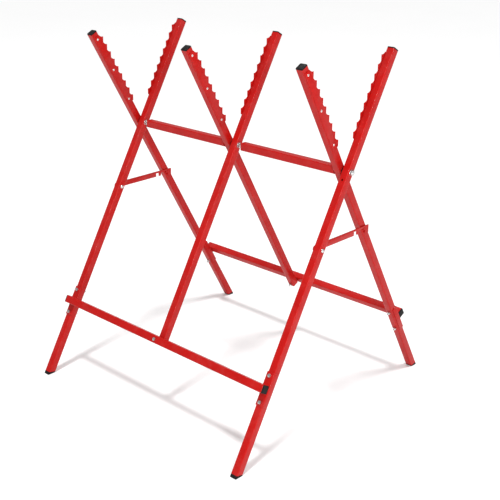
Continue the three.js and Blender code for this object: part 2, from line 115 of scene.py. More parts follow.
def set_camera():
    """A standing view from the sawhorse's front right, at its shoulder height."""
    turn, tilt = math.radians(43.5), math.radians(21.03)
    lens = bpy.data.cameras.new("studio_camera")
    lens.lens, lens.sensor_width = 68.96, 36
    camera = bpy.data.objects.new("studio_camera", lens)
    camera.location = Vector((1.6776, -1.7030, 1.2706)) + Vector((FOLD_AXIS.x, FOLD_AXIS.y, 0))
    look = Vector((-math.sin(turn) * math.cos(tilt), math.cos(turn) * math.cos(tilt), -math.sin(tilt)))
    camera.rotation_euler = look.to_track_quat("-Z", "Y").to_euler()
    bpy.context.scene.collection.objects.link(camera)
    bpy.context.scene.camera = camera
    bpy.context.scene.view_settings.view_transform = "Standard"


set_camera()


# ------------------------------------------------------------------ shader groups

def link(tree, start, end):
    tree.links.new(start, end)


def node(tree, kind, **settings):
    made = tree.nodes.new(kind)
    for name, value in settings.items():
        setattr(made, name, value)
    return made


def group_sockets(tree, inputs, outputs):
    for name, kind, value in inputs:
        socket = tree.interface.new_socket(name, in_out="INPUT", socket_type=kind)
        if value is not None:
            socket.default_value = value
    for name, kind in outputs:
        tree.interface.new_socket(name, in_out="OUTPUT", socket_type=kind)
    return tree.nodes.new("NodeGroupInput"), tree.nodes.new("NodeGroupOutput")


def noise(tree, vector, scale, detail, rough):
    made = node(tree, "ShaderNodeTexNoise")
    made.inputs["Detail"].default_value = detail
    made.inputs["Roughness"].default_value = rough
    link(tree, vector, made.inputs["Vector"])
    link(tree, scale, made.inputs["Scale"])
    return made.outputs["Fac"]


def remap(tree, value, low, high, to_low, to_high):
    made = node(tree, "ShaderNodeMapRange")
    link(tree, value, made.inputs["Value"])
    for name, number in (("From Min", low), ("From Max", high), ("To Min", to_low), ("To Max", to_high)):
        if isinstance(number, (int, float)):
            made.inputs[name].default_value = number
        else:
            link(tree, number, made.inputs[name])
    return made.outputs["Result"]


def maths(tree, operation, first, second):
    made = node(tree, "ShaderNodeMath", operation=operation)
    for socket, value in zip(made.inputs, (first, second)):
        if isinstance(value, (int, float)):
            socket.default_value = value
        else:
            link(tree, value, socket)
    return made.outputs["Value"]


def make_coat_grain():
    """Orange peel of a sprayed or moulded skin, with slow changes of thickness under it."""
    tree = bpy.data.node_groups.new("coat_grain", "ShaderNodeTree")
    come, go = group_sockets(
        tree,
        [("Vector", "NodeSocketVector", None), ("Peel Scale", "NodeSocketFloat", 900.0),
         ("Flow Scale", "NodeSocketFloat", 14.0), ("Flow Share", "NodeSocketFloat", 0.3)],
        [("Height", "NodeSocketFloat"), ("Thickness", "NodeSocketFloat"), ("Peel", "NodeSocketFloat")])
    peel = noise(tree, come.outputs["Vector"], come.outputs["Peel Scale"], 2.0, 0.45)
    flow = noise(tree, come.outputs["Vector"], come.outputs["Flow Scale"], 3.0, 0.6)
    slow = maths(tree, "MULTIPLY", flow, come.outputs["Flow Share"])
    link(tree, maths(tree, "ADD", peel, slow), go.inputs["Height"])
    link(tree, flow, go.inputs["Thickness"])
    link(tree, peel, go.inputs["Peel"])
    return tree


def make_handling_marks():
    """Fine scratches and rubbed patches from handling, as a mask."""
    tree = bpy.data.node_groups.new("handling_marks", "ShaderNodeTree")
    come, go = group_sockets(
        tree,
        [("Vector", "NodeSocketVector", None), ("Patch Scale", "NodeSocketFloat", 9.0),
         ("Scratch Scale", "NodeSocketFloat", 160.0), ("Amount", "NodeSocketFloat", 0.5)],
        [("Rubbed", "NodeSocketFloat"), ("Scratches", "NodeSocketFloat")])
    patch = noise(tree, come.outputs["Vector"], come.outputs["Patch Scale"], 4.0, 0.65)
    rubbed = remap(tree, patch, 0.5, 0.72, 0.0, come.outputs["Amount"])
    stretch = node(tree, "ShaderNodeMapping")
    stretch.inputs["Scale"].default_value = (0.12, 1.0, 1.0)
    stretch.inputs["Rotation"].default_value = (0.4, 0.9, 0.3)
    link(tree, come.outputs["Vector"], stretch.inputs["Vector"])
    fine = noise(tree, stretch.outputs["Vector"], come.outputs["Scratch Scale"], 2.0, 0.5)
    lines = remap(tree, fine, 0.66, 0.74, 0.0, come.outputs["Amount"])
    link(tree, rubbed, go.inputs["Rubbed"])
    link(tree, maths(tree, "MULTIPLY", lines, patch), go.inputs["Scratches"])
    return tree


def make_dust():
    """Thin dust that gathers in soft clouds, as a mask."""
    tree = bpy.data.node_groups.new("settled_dust", "ShaderNodeTree")
    come, go = group_sockets(
        tree,
        [("Vector", "NodeSocketVector", None), ("Cloud Scale", "NodeSocketFloat", 22.0),
         ("Amount", "NodeSocketFloat", 0.2)],
        [("Dust", "NodeSocketFloat")])
    cloud = noise(tree, come.outputs["Vector"], come.outputs["Cloud Scale"], 6.0, 0.7)
    link(tree, remap(tree, cloud, 0.48, 0.8, 0.0, come.outputs["Amount"]), go.inputs["Dust"])
    return tree


COAT_GRAIN = make_coat_grain()
HANDLING_MARKS = make_handling_marks()
SETTLED_DUST = make_dust()


# ------------------------------------------------------------------ finishes

def place_group(tree, group, vector, **values):
    made = node(tree, "ShaderNodeGroup", node_tree=group)
    link(tree, vector, made.inputs["Vector"])
    for name, value in values.items():
        made.inputs[name.replace("_", " ")].default_value = value
    return made.outputs


def blend_colour(tree, mask, first, second):
    made = node(tree, "ShaderNodeMix", data_type="RGBA")
    link(tree, mask, made.inputs["Factor"])
    for socket, value in ((made.inputs["A"], first), (made.inputs["B"], second)):
        if isinstance(value, tuple):
            socket.default_value = (*value, 1)
        else:
            link(tree, value, socket)
    return made.outputs["Result"]


def finish_of(name):
    material = bpy.data.materials.new(name)
    material.use_nodes = True
    tree = material.node_tree
    shader = tree.nodes["Principled BSDF"]
    place = node(tree, "ShaderNodeTexCoord").outputs["Object"]
    return material, tree, shader, place


def raise_bump(tree, shader, height, distance, strength):
    bump = node(tree, "ShaderNodeBump")
    bump.inputs["Distance"].default_value = distance
    bump.inputs["Strength"].default_value = strength
    link(tree, height, bump.inputs["Height"])
    link(tree, bump.outputs["Normal"], shader.inputs["Normal"])


def powder_coat(name, bright, deep, peel_scale, gloss):
    """Red powder coat: slow colour drift with the coat's thickness, orange peel and light rubs."""
    material, tree, shader, place = finish_of(name)
    grain = place_group(tree, COAT_GRAIN, place, Peel_Scale=peel_scale, Flow_Scale=16.0, Flow_Share=0.35)
    marks = place_group(tree, HANDLING_MARKS, place, Patch_Scale=11.0, Scratch_Scale=210.0, Amount=0.55)
    dust = place_group(tree, SETTLED_DUST, place, Cloud_Scale=26.0, Amount=0.03)
    body = blend_colour(tree, remap(tree, grain["Thickness"], 0.3, 0.7, 0.0, 1.0), deep, bright)
    faint = maths(tree, "MULTIPLY", marks["Rubbed"], 0.3)
    rubbed = blend_colour(tree, faint, body, (0.50, 0.018, 0.014))
    dusty = blend_colour(tree, dust["Dust"], rubbed, (0.72, 0.62, 0.58))
    link(tree, dusty, shader.inputs["Base Color"])
    worn = maths(tree, "ADD", maths(tree, "MULTIPLY", marks["Rubbed"], 0.16),
                 maths(tree, "MULTIPLY", marks["Scratches"], 0.25))
    base = remap(tree, grain["Peel"], 0.3, 0.7, gloss - 0.04, gloss + 0.05)
    link(tree, maths(tree, "ADD", base, worn), shader.inputs["Roughness"])
    shader.inputs["Coat Weight"].default_value = 0.06
    shader.inputs["Coat Roughness"].default_value = 0.1
    shader.inputs["Specular IOR Level"].default_value = 0.16
    raise_bump(tree, shader, grain["Height"], distance=0.00004, strength=0.4)
    return material


def plated_metal(name, pale, dull, roughness, marks_amount):
    """Bare or plated metal: cloudy plating, fine tooling scratches and handling wear."""
    material, tree, shader, place = finish_of(name)
    grain = place_group(tree, COAT_GRAIN, place, Peel_Scale=1500.0, Flow_Scale=120.0, Flow_Share=0.6)
    marks = place_group(tree, HANDLING_MARKS, place, Patch_Scale=90.0, Scratch_Scale=900.0,
                        Amount=marks_amount)
    cloud = remap(tree, grain["Thickness"], 0.32, 0.68, 0.0, 1.0)
    body = blend_colour(tree, cloud, pale, dull)
    worn = blend_colour(tree, marks["Rubbed"], body, (0.34, 0.34, 0.33))
    link(tree, worn, shader.inputs["Base Color"])
    shader.inputs["Metallic"].default_value = 1.0
    dulled = maths(tree, "ADD", maths(tree, "MULTIPLY", marks["Rubbed"], 0.2),
                   maths(tree, "MULTIPLY", marks["Scratches"], 0.3))
    base = remap(tree, grain["Peel"], 0.3, 0.7, roughness - 0.06, roughness + 0.08)
    link(tree, maths(tree, "ADD", base, dulled), shader.inputs["Roughness"])
    raise_bump(tree, shader, grain["Height"], distance=0.00003, strength=0.5)
    return material


def moulded_plastic(name, body, pale, roughness):
    """Black moulded plastic: spark-eroded grain, paler rubbed patches and a little dust."""
    material, tree, shader, place = finish_of(name)
    grain = place_group(tree, COAT_GRAIN, place, Peel_Scale=2200.0, Flow_Scale=60.0, Flow_Share=0.4)
    marks = place_group(tree, HANDLING_MARKS, place, Patch_Scale=70.0, Scratch_Scale=500.0, Amount=0.6)
    dust = place_group(tree, SETTLED_DUST, place, Cloud_Scale=110.0, Amount=0.08)
    rubbed = blend_colour(tree, marks["Rubbed"], body, pale)
    dusty = blend_colour(tree, dust["Dust"], rubbed, (0.12, 0.11, 0.10))
    link(tree, dusty, shader.inputs["Base Color"])
    base = remap(tree, grain["Peel"], 0.3, 0.7, roughness - 0.08, roughness + 0.1)
    link(tree, maths(tree, "ADD", base, maths(tree, "MULTIPLY", marks["Scratches"], 0.2)),
         shader.inputs["Roughness"])
    shader.inputs["Specular IOR Level"].default_value = 0.14
    raise_bump(tree, shader, grain["Height"], distance=0.00008, strength=0.6)
    return material


TUBE_RED = powder_coat("red_powder_coat_on_tube", bright=(0.43, 0.0055, 0.004),
                       deep=(0.375, 0.0035, 0.0025), peel_scale=900.0, gloss=0.3)
SHEET_RED = powder_coat("red_powder_coat_on_sheet", bright=(0.425, 0.0055, 0.004),
                        deep=(0.37, 0.0035, 0.0025), peel_scale=1100.0, gloss=0.34)
ZINC = plated_metal("bright_zinc_plate", pale=(0.76, 0.77, 0.78), dull=(0.60, 0.60, 0.58),
                    roughness=0.24, marks_amount=0.45)
ALUMINIUM = plated_metal("aluminium_rivet", pale=(0.90, 0.90, 0.89), dull=(0.76, 0.76, 0.75),
                         roughness=0.32, marks_amount=0.3)
PLUG_BLACK = moulded_plastic("black_moulded_plug", body=(0.0035, 0.0035, 0.004),
                             pale=(0.014, 0.014, 0.014), roughness=0.5)
FOOT_BLACK = moulded_plastic("black_foot_rubber", body=(0.007, 0.006, 0.006),
                             pale=(0.022, 0.021, 0.02), roughness=0.62)


# ------------------------------------------------------------------ mesh making

def round_square(width, corner, steps=7):
    """The outline of a square with rounded corners, anticlockwise, starting at its right side."""
    reach = width / 2 - corner
    points = []
    for cx, cy, start in ((reach, reach, 0), (-reach, reach, 90),
                          (-reach, -reach, 180), (reach, -reach, 270)):
        for i in range(steps + 1):
            turn = math.radians(start + 90 * i / steps)
            points.append((cx + corner * math.cos(turn), cy + corner * math.sin(turn)))
    return points


def plug_stub():
    """The outline of the part of a plug that is inside its tube."""
    return round_square(TUBE - 2 * WALL - PLUG_PLAY, CORNER - WALL)


def shrunk(points, by):
    """The same outline, each point moved towards the middle line by `by` on both axes."""
    inward = lambda v: v - math.copysign(min(by, abs(v)), v)
    return [(inward(x), inward(y)) for x, y in points]


def loops_to_mesh(loops, closed_ring=False):
    """Skins a row of equal loops of 3-D points. A closed ring joins its last loop to its first;
    otherwise both ends are capped."""
    work = bmesh.new()
    rings = [[work.verts.new(p) for p in loop] for loop in loops]
    pairs = list(zip(rings, rings[1:])) + ([(rings[-1], rings[0])] if closed_ring else [])
    for low, high in pairs:
        count = len(low)
        for i in range(count):
            work.faces.new((low[i], low[(i + 1) % count], high[(i + 1) % count], high[i]))
    if not closed_ring:
        work.faces.new(list(reversed(rings[0])))
        work.faces.new(rings[-1])
    return work


def tube_shell(low, high):
    """A square tube along Z, open at both ends. `low` and `high` give its ends' height at a point."""
    ease_out = 0.4 * MM
    ease_in = ease_out * 0.6
    outer = round_square(TUBE, CORNER)
    outer_eased = shrunk(outer, ease_out)
    inner = round_square(TUBE - 2 * WALL, CORNER - WALL)
    inner_eased = shrunk(inner, -ease_in)
    level = lambda points, end, move: [(x, y, end(x, y) + move) for x, y in points]
    return loops_to_mesh([
        level(inner, low, ease_in), level(inner_eased, low, 0), level(outer_eased, low, 0),
        level(outer, low, ease_out), level(outer, high, -ease_out), level(outer_eased, high, 0),
        level(inner_eased, high, 0), level(inner, high, -ease_in),
    ], closed_ring=True)


def flat_plate(outline, thickness):
    """A plate across X from its outline of (y, z) points, from x = 0 to its thickness."""
    work = bmesh.new()
    near = [work.verts.new((0, y, z)) for y, z in outline]
    far = [work.verts.new((thickness, y, z)) for y, z in outline]
    work.faces.new(list(reversed(near)))
    work.faces.new(far)
    count = len(near)
    for i in range(count):
        work.faces.new((near[i], near[(i + 1) % count], far[(i + 1) % count], far[i]))
    return work


def turned(profile, sides=28):
    """A solid of revolution about Z from (radius, height) points. It closes on the axis where
    the profile starts or ends there."""
    work = bmesh.new()
    rings = []
    for radius, height in profile:
        if radius < 1e-7:
            rings.append([work.verts.new((0, 0, height))])
        else:
            rings.append([work.verts.new((radius * math.cos(2 * math.pi * i / sides),
                                          radius * math.sin(2 * math.pi * i / sides), height))
                          for i in range(sides)])
    for low, high in zip(rings, rings[1:]):
        for i in range(sides):
            a, b = low[i % len(low)], low[(i + 1) % len(low)]
            c, d = high[(i + 1) % len(high)], high[i % len(high)]
            corners = []
            for vert in (a, b, c, d):
                if vert not in corners:
                    corners.append(vert)
            if len(corners) > 2:
                work.faces.new(corners)
    return work


def hexagon_ring(flats, steps_per_flat=4):
    """Turn and radius of points round a hexagon of that width across flats."""
    points = []
    for i in range(6 * steps_per_flat):
        turn = math.pi / 3 * i / steps_per_flat
        off = (turn + math.pi / 6) % (math.pi / 3) - math.pi / 6
        points.append((turn, flats / 2 / math.cos(off)))
    return points


def hex_block(flats, height, foot_chamfer=False, bore=0.0):
    """A hexagon head or nut along Z, its corners turned down as a real one's are."""
    ring = hexagon_ring(flats)
    face = flats / 2 * 0.94
    drop = lambda r: max(0, r - face) * math.tan(math.radians(30))
    at = lambda turn, radius, z: (radius * math.cos(turn), radius * math.sin(turn), z)
    loops = []
    if bore:
        loops.append([at(t, bore, 0) for t, r in ring])
    if foot_chamfer:
        loops.append([at(t, face, 0) for t, r in ring])
        loops.append([at(t, r, drop(r)) for t, r in ring])
    else:
        loops.append([at(t, r, 0) for t, r in ring])
    loops.append([at(t, r, height - drop(r)) for t, r in ring])
    loops.append([at(t, face, height) for t, r in ring])
    if bore:
        loops.append([at(t, bore, height) for t, r in ring])
        return loops_to_mesh(loops, closed_ring=True)
    return loops_to_mesh(loops)


def ring_of(profile, sides=28):
    """A ring about Z with a hole through it, from the (radius, height) points of its section."""
    turns = [2 * math.pi * i / sides for i in range(sides)]
    return loops_to_mesh([[(r * math.cos(t), r * math.sin(t), z) for t in turns] for r, z in profile],
                         closed_ring=True)


def thread_profile(radius, length, pitch, depth):
    """The side of a threaded end as turned ridges, tapering in at its tip."""
    points = [(radius, 0)]
    height = 0.3 * pitch
    while height + pitch < length - 0.4 * pitch:
        points += [(radius - depth, height), (radius, height + 0.42 * pitch),
                   (radius, height + 0.58 * pitch)]
        height += pitch
    points += [(radius - depth, height), (radius - depth * 1.2, length - 0.2 * pitch),
               (radius - depth * 2.2, length), (0, length)]
    return points


def merged(*works):
    """Several meshes in one."""
    whole = bmesh.new()
    for work in works:
        plain = bpy.data.meshes.new("part")
        work.to_mesh(plain)
        work.free()
        whole.from_mesh(plain)
        bpy.data.meshes.remove(plain)
    return whole


def placed(work, matrix):
    bmesh.ops.transform(work, matrix=matrix, verts=work.verts)
    return work


def along_x(start, y=0.0, z=0.0):
    """Lays a shape made along Z on the X direction, from `start`."""
    return Matrix.Translation((start, y, z)) @ Matrix.Rotation(math.pi / 2, 4, "Y")


def along_y(x, start, z=0.0):
    return Matrix.Translation((x, start, z)) @ Matrix.Rotation(-math.pi / 2, 4, "X")


def smooth(mesh):
    mesh.shade_smooth()
    mesh.set_sharp_from_angle(angle=math.radians(32))


def as_object(name, work, material):
    mesh = bpy.data.meshes.new(name)
    bmesh.ops.recalc_face_normals(work, faces=work.faces)
    work.to_mesh(mesh)
    work.free()
    smooth(mesh)
    mesh.materials.append(material)
    made = bpy.data.objects.new(name, mesh)
    bpy.context.scene.collection.objects.link(made)
    return made


def baked(thing, name):
    """A plain mesh object of `thing` with its modifiers worked in; `thing` is removed."""
    bpy.context.view_layer.update()
    evaluated = thing.evaluated_get(bpy.context.evaluated_depsgraph_get())
    mesh = bpy.data.meshes.new_from_object(evaluated)
    bpy.data.objects.remove(thing)
    mesh.name = name
    smooth(mesh)
    made = bpy.data.objects.new(name, mesh)
    bpy.context.scene.collection.objects.link(made)
    return made


def eased(thing, width):
    """Rounds the sharp edges of a plate or sheet piece."""
    name = thing.name
    thing.name = name + "_raw"
    bevel = thing.modifiers.new("eased_edges", "BEVEL")
    bevel.width, bevel.segments = width, 2
    bevel.limit_method, bevel.angle_limit = "ANGLE", math.radians(50)
    bevel.use_clamp_overlap = True
    return baked(thing, name)


def drilled(thing, diameter, matrix, length):
    """Cuts one round hole, along the Z axis of `matrix`."""
    name, finish = thing.name, thing.data.materials[0]
    thing.name = name + "_raw"
    rod = turned([(0, 0), (diameter / 2, 0), (diameter / 2, length), (0, length)], 24)
    tool = as_object(name + "_drill", placed(rod, matrix), finish)
    cut = thing.modifiers.new("hole", "BOOLEAN")
    cut.operation, cut.solver, cut.object = "DIFFERENCE", "EXACT", tool
    made = baked(thing, name)
    bpy.data.objects.remove(tool)
    made.data.materials.clear()
    made.data.materials.append(finish)
    return made


def settle(thing, matrix, body, slot, *nodes):
    """Puts a finished piece in place on its body, standing for its CAD nodes."""
    thing.data.transform(matrix)
    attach(thing, body)
    if nodes:
        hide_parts(*nodes)


# ------------------------------------------------------------------ repeated fixings

def make_grid_tree():
    """Repeats a fixing in rows and columns: along the legs and from one leg to the next."""
    tree = bpy.data.node_groups.new("fixings_in_rows", "GeometryNodeTree")
    tree.is_modifier = True
    face = tree.interface
    face.new_socket("Geometry", in_out="INPUT", socket_type="NodeSocketGeometry")
    face.new_socket("Fixing", in_out="INPUT", socket_type="NodeSocketObject")
    face.new_socket("Columns", in_out="INPUT", socket_type="NodeSocketInt")
    face.new_socket("Column Step", in_out="INPUT", socket_type="NodeSocketVector")
    face.new_socket("Rows", in_out="INPUT", socket_type="NodeSocketInt")
    face.new_socket("Row Step", in_out="INPUT", socket_type="NodeSocketVector")
    face.new_socket("First", in_out="INPUT", socket_type="NodeSocketVector")
    face.new_socket("Turn Seed", in_out="INPUT", socket_type="NodeSocketInt")
    face.new_socket("Turn Axis", in_out="INPUT", socket_type="NodeSocketVector")
    face.new_socket("Finish", in_out="INPUT", socket_type="NodeSocketMaterial")
    face.new_socket("Geometry", in_out="OUTPUT", socket_type="NodeSocketGeometry")
    come, go = tree.nodes.new("NodeGroupInput"), tree.nodes.new("NodeGroupOutput")
    columns = node(tree, "GeometryNodeMeshLine", mode="OFFSET")
    rows = node(tree, "GeometryNodeMeshLine", mode="OFFSET")
    link(tree, come.outputs["Columns"], columns.inputs["Count"])
    link(tree, come.outputs["Column Step"], columns.inputs["Offset"])
    link(tree, come.outputs["First"], columns.inputs["Start Location"])
    link(tree, come.outputs["Rows"], rows.inputs["Count"])
    link(tree, come.outputs["Row Step"], rows.inputs["Offset"])
    crossed = node(tree, "GeometryNodeInstanceOnPoints")
    link(tree, columns.outputs["Mesh"], crossed.inputs["Points"])
    link(tree, rows.outputs["Mesh"], crossed.inputs["Instance"])
    points = node(tree, "GeometryNodeRealizeInstances")
    link(tree, crossed.outputs["Instances"], points.inputs["Geometry"])
    info = node(tree, "GeometryNodeObjectInfo")
    link(tree, come.outputs["Fixing"], info.inputs["Object"])
    spin = node(tree, "FunctionNodeRandomValue", data_type="FLOAT")
    spin.inputs[2].default_value, spin.inputs[3].default_value = 0.0, 2 * math.pi
    link(tree, come.outputs["Turn Seed"], spin.inputs["Seed"])
    turn = node(tree, "FunctionNodeAxisAngleToRotation")
    link(tree, come.outputs["Turn Axis"], turn.inputs["Axis"])
    link(tree, spin.outputs[1], turn.inputs["Angle"])
    put = node(tree, "GeometryNodeInstanceOnPoints")
    link(tree, points.outputs["Geometry"], put.inputs["Points"])
    link(tree, info.outputs["Geometry"], put.inputs["Instance"])
    link(tree, turn.outputs["Rotation"], put.inputs["Rotation"])
    real = node(tree, "GeometryNodeRealizeInstances")
    link(tree, put.outputs["Instances"], real.inputs["Geometry"])
    skin = node(tree, "GeometryNodeSetMaterial")
    link(tree, real.outputs["Geometry"], skin.inputs["Geometry"])
    link(tree, come.outputs["Finish"], skin.inputs["Material"])
    link(tree, skin.outputs["Geometry"], go.inputs["Geometry"])
    return tree


FIXINGS_IN_ROWS = make_grid_tree()


def set_input(modifier, name, value):
    for item in modifier.node_group.interface.items_tree:
        if item.item_type == "SOCKET" and item.in_out == "INPUT" and item.name == name:
            modifier[item.identifier] = value


def carrier(name):
    holder = bpy.data.objects.new(name, bpy.data.meshes.new(name))
    bpy.context.scene.collection.objects.link(holder)
    return holder


def in_rows(name, fixing, finish, columns, column_step, rows, row_step, first, seed, axis):
    """One mesh of a fixing repeated in rows and columns, each turned about `axis` by chance."""
    holder = carrier(name + "_rows")
    steps = holder.modifiers.new("rows", "NODES")
    steps.node_group = FIXINGS_IN_ROWS
    for label, value in (("Fixing", fixing), ("Columns", columns), ("Column Step", column_step),
                         ("Rows", rows), ("Row Step", row_step), ("First", first),
                         ("Turn Seed", seed), ("Turn Axis", axis), ("Finish", finish)):
        set_input(steps, label, value)
    made = baked(holder, name)
    bpy.data.objects.remove(fixing)
    return made


# ------------------------------------------------------------------ tubes and their ends

def foot_cut_height(lean):
    drop = FOLD_AXIS.z / math.cos(lean)
    return -drop + FOOT_THIN + HALF * (math.tan(lean) - math.tan(FOOT_CUT))


def make_leg(kind, station, outer, last, place, lean, arm, body):
    tag = f"{kind}_{station}"
    if outer:
        base = foot_cut_height(lean) + GAP
        low = lambda x, y: base + y * math.tan(FOOT_CUT)
    else:
        low = lambda x, y: -(CROSSBAR_DROP + MIDDLE_LEG_END)
    leg = as_object(f"{tag}_leg_tube", tube_shell(low, lambda x, y: arm), TUBE_RED)
    if last:
        leg = drilled(leg, SPARE_HOLE, along_y(0, -HALF - 2 * MM, -SPARE_HOLE_DROP), HALF)
    settle(leg, place, body, "red_powder_coat", f"{tag}_leg")


def make_arm_cap(kind, station, place, arm, body):
    tag = f"{kind}_{station}"
    stub = plug_stub()
    under = round_square(TUBE - 1.2 * MM, CORNER - 0.6 * MM)
    loops = [
        [(x, y, arm - PLUG_DEPTH) for x, y in stub],
        [(x, y, arm + GAP) for x, y in stub],
        [(x, y, arm + GAP) for x, y in under],
    ]
    crown = ((0, GAP), (0, 2.1 * MM), (0.3 * MM, 2.7 * MM), (0.9 * MM, 3.05 * MM), (2.2 * MM, 3.3 * MM))
    for inset, height in crown:
        ring = round_square(TUBE - 2 * inset, CORNER - inset * 0.6)
        loops.append([(x, y, arm + height) for x, y in ring])
    cap = as_object(f"{tag}_arm_plug", loops_to_mesh(loops), PLUG_BLACK)
    settle(cap, place, body, "black_plastic", f"{tag}_arm_cap")


def make_foot(kind, station, place, lean, body):
    tag = f"{kind}_{station}"
    drop = FOLD_AXIS.z / math.cos(lean)
    cut = foot_cut_height(lean)
    sole = lambda y: -drop + y * math.tan(lean)
    top = lambda y: cut + y * math.tan(FOOT_CUT)
    ring = round_square(TUBE, CORNER)
    tucked = shrunk(ring, 0.5 * MM)
    stub = plug_stub()
    loops = [
        [(x, y, sole(y)) for x, y in tucked],
        [(x, y, sole(y) + 0.6 * MM) for x, y in ring],
        [(x, y, top(y) - 0.3 * MM) for x, y in ring],
        [(x, y, top(y)) for x, y in shrunk(ring, 0.3 * MM)],
        [(x, y, top(y)) for x, y in stub],
        [(x, y, top(y) + PLUG_DEPTH) for x, y in stub],
    ]
    foot = as_object(f"{tag}_foot_wedge", loops_to_mesh(loops), FOOT_BLACK)
    settle(foot, place, body, "black_plastic", f"{tag}_foot")


def crossbar_plug():
    """A plug for a crossbar's end, its head's crown towards +Z."""
    stub = plug_stub()
    under = round_square(TUBE - 1.0 * MM, CORNER - 0.4 * MM)
    loops = [
        [(x, y, -PLUG_DEPTH) for x, y in stub],
        [(x, y, 0) for x, y in stub],
        [(x, y, 0) for x, y in under],
    ]
    crown = ((0, 0.25 * MM), (0, 1.5 * MM), (0.4 * MM, 2.1 * MM), (1.1 * MM, 2.4 * MM),
             (2.4 * MM, PLUG_HEAD))
    for inset, height in crown:
        ring = round_square(TUBE - 2 * inset, CORNER - inset * 0.6)
        loops.append([(x, y, height) for x, y in ring])
    return loops_to_mesh(loops)


def make_crossbar(kind, place, flip, body):
    length = 2 * BAY + TUBE - 2 * (PLUG_HEAD + GAP)
    bar = placed(tube_shell(lambda x, y: -length / 2, lambda x, y: length / 2),
                 along_x(LANE, -OUT, -CROSSBAR_DROP))
    made = as_object(f"{kind}_cross_tube", bar, TUBE_RED)
    settle(made, place, body, "red_powder_coat", f"{kind}_crossbar")
    for side, end in ((-1, "left"), (1, "right")):
        toward = flip * side
        outward = Matrix.Rotation(toward * math.pi / 2, 4, "Y")
        seat = Matrix.Translation((LANE + toward * (length / 2 + GAP), -OUT, -CROSSBAR_DROP))
        plug = placed(crossbar_plug(), seat @ outward)
        made = as_object(f"{kind}_cross_tube_plug_{end}", plug, PLUG_BLACK)
        settle(made, place, body, "black_plastic", f"{kind}_crossbar_plug_{end}")


# ------------------------------------------------------------------ sheet pieces

def tooth_outline(arm):
    """The edge of a toothed plate, as (y, z): its back, its top and its row of hooked teeth."""
    first = arm - TIP_BELOW_END
    last = first - (TOOTH_COUNT - 1) * TOOTH_PITCH
    top = first + PLATE_TOP_MARGIN
    tip, valley = -TIP_REACH, -VALLEY_REACH
    points = [(PLATE_BACK, last - PLATE_FOOT_MARGIN), (PLATE_BACK, top), (valley + 2 * MM, top)]

    def swept(start, bend, end, steps=6):
        for i in range(1, steps + 1):
            t = i / steps
            points.append(tuple((1 - t) ** 2 * a + 2 * t * (1 - t) * b + t * t * c
                                for a, b, c in zip(start, bend, end)))

    swept((valley + 2 * MM, top), (valley, first + 3 * MM), (tip, first))
    for i in range(TOOTH_COUNT):
        low = first - (i + VALLEY_SHARE) * TOOTH_PITCH
        points.append((valley, low))
        if i < TOOTH_COUNT - 1:
            below = first - (i + 1) * TOOTH_PITCH
            swept((valley, low), (valley - 1.5 * MM, below + 3 * MM), (tip, below))
    return list(reversed(points))


def make_toothed_plate(kind, station, place, arm, body):
    tag = f"{kind}_{station}"
    beside = Matrix.Translation((-HALF - GAP - TOOTH_SHEET, 0, 0))
    work = placed(flat_plate(tooth_outline(arm), TOOTH_SHEET), beside)
    plate = eased(as_object(f"{tag}_teeth", work, SHEET_RED), 0.25 * MM)
    settle(plate, place, body, "red_powder_coat", f"{tag}_toothed_plate")


def make_saddle(kind, station, place, body):
    """Folded sheet that grips the leg's outer face and both its sides."""
    tag = f"{kind}_{station}"
    sheet, inside = SADDLE_SHEET - 2 * GAP, HALF + GAP
    bend = sheet + 1 * MM
    small = bend - sheet
    outside = inside + sheet
    end = -inside + GAP + SADDLE_FLANGE
    face = -inside - sheet
    outer, inner = [], []
    for i in range(7):
        turn = math.radians(90 * i / 6)
        across, along = math.sin(turn), 1 - math.cos(turn)
        outer.append((outside - bend + bend * across, face + bend * along))
        inner.append((inside - small + small * across, face + sheet + small * along))
    right = outer + [(outside, end), (inside, end)] + list(reversed(inner))
    left = [(-x, y) for x, y in reversed(right)]
    section = right + left
    loops = [[(x, y, z) for x, y in section] for z in (-SADDLE_LENGTH / 2, SADDLE_LENGTH / 2)]
    work = placed(loops_to_mesh(loops), Matrix.Translation((0, 0, -CROSSBAR_DROP)))
    saddle = eased(as_object(f"{tag}_u_saddle", work, SHEET_RED), 0.35 * MM)
    settle(saddle, place, body, "red_powder_coat", f"{tag}_saddle")


def spreader_outline():
    """A spreader's edge about its own pivot, as (y, z): round end, bar, bites and end hook."""
    half, strip = 7.5 * MM, 2.5 * MM
    bite, bite_end, tooth_end = 145 * MM, 156 * MM, 163.5 * MM
    hook, hook_foot, end = 189 * MM, -12 * MM, 203 * MM
    points = [(end, half), (0, half)]
    for i in range(1, 16):
        turn = math.radians(90 + 180 * i / 16)
        points.append((half * math.cos(turn), half * math.sin(turn)))
    points += [(0, -half), (bite, -half), (bite, strip), (bite_end, strip), (bite_end, -half),
               (tooth_end, -half), (tooth_end, strip), (hook, strip), (hook, hook_foot),
               (end, hook_foot)]
    return points


def make_spreader(station, side):
    body = f"{station}_spreader"
    pivot = FRONT @ Vector((0, 0, -SPREADER_DROP))
    place = Matrix.Translation((FOLD_AXIS.x + side * BAY - SPREADER_SHEET / 2, pivot.y, pivot.z))
    raw = as_object(f"{station}_spreader_bar", flat_plate(spreader_outline(), SPREADER_SHEET), SHEET_RED)
    settle(eased(raw, 0.4 * MM), place, body, "red_powder_coat", f"{station}_spreader")


# ------------------------------------------------------------------ bolts, nuts and rivets

def washer(radius, bore, thick):
    ease = 0.18 * MM
    return ring_of([(bore, 0), (radius - ease, 0), (radius, ease), (radius, thick - ease),
                    (radius - ease, thick), (bore, thick)])


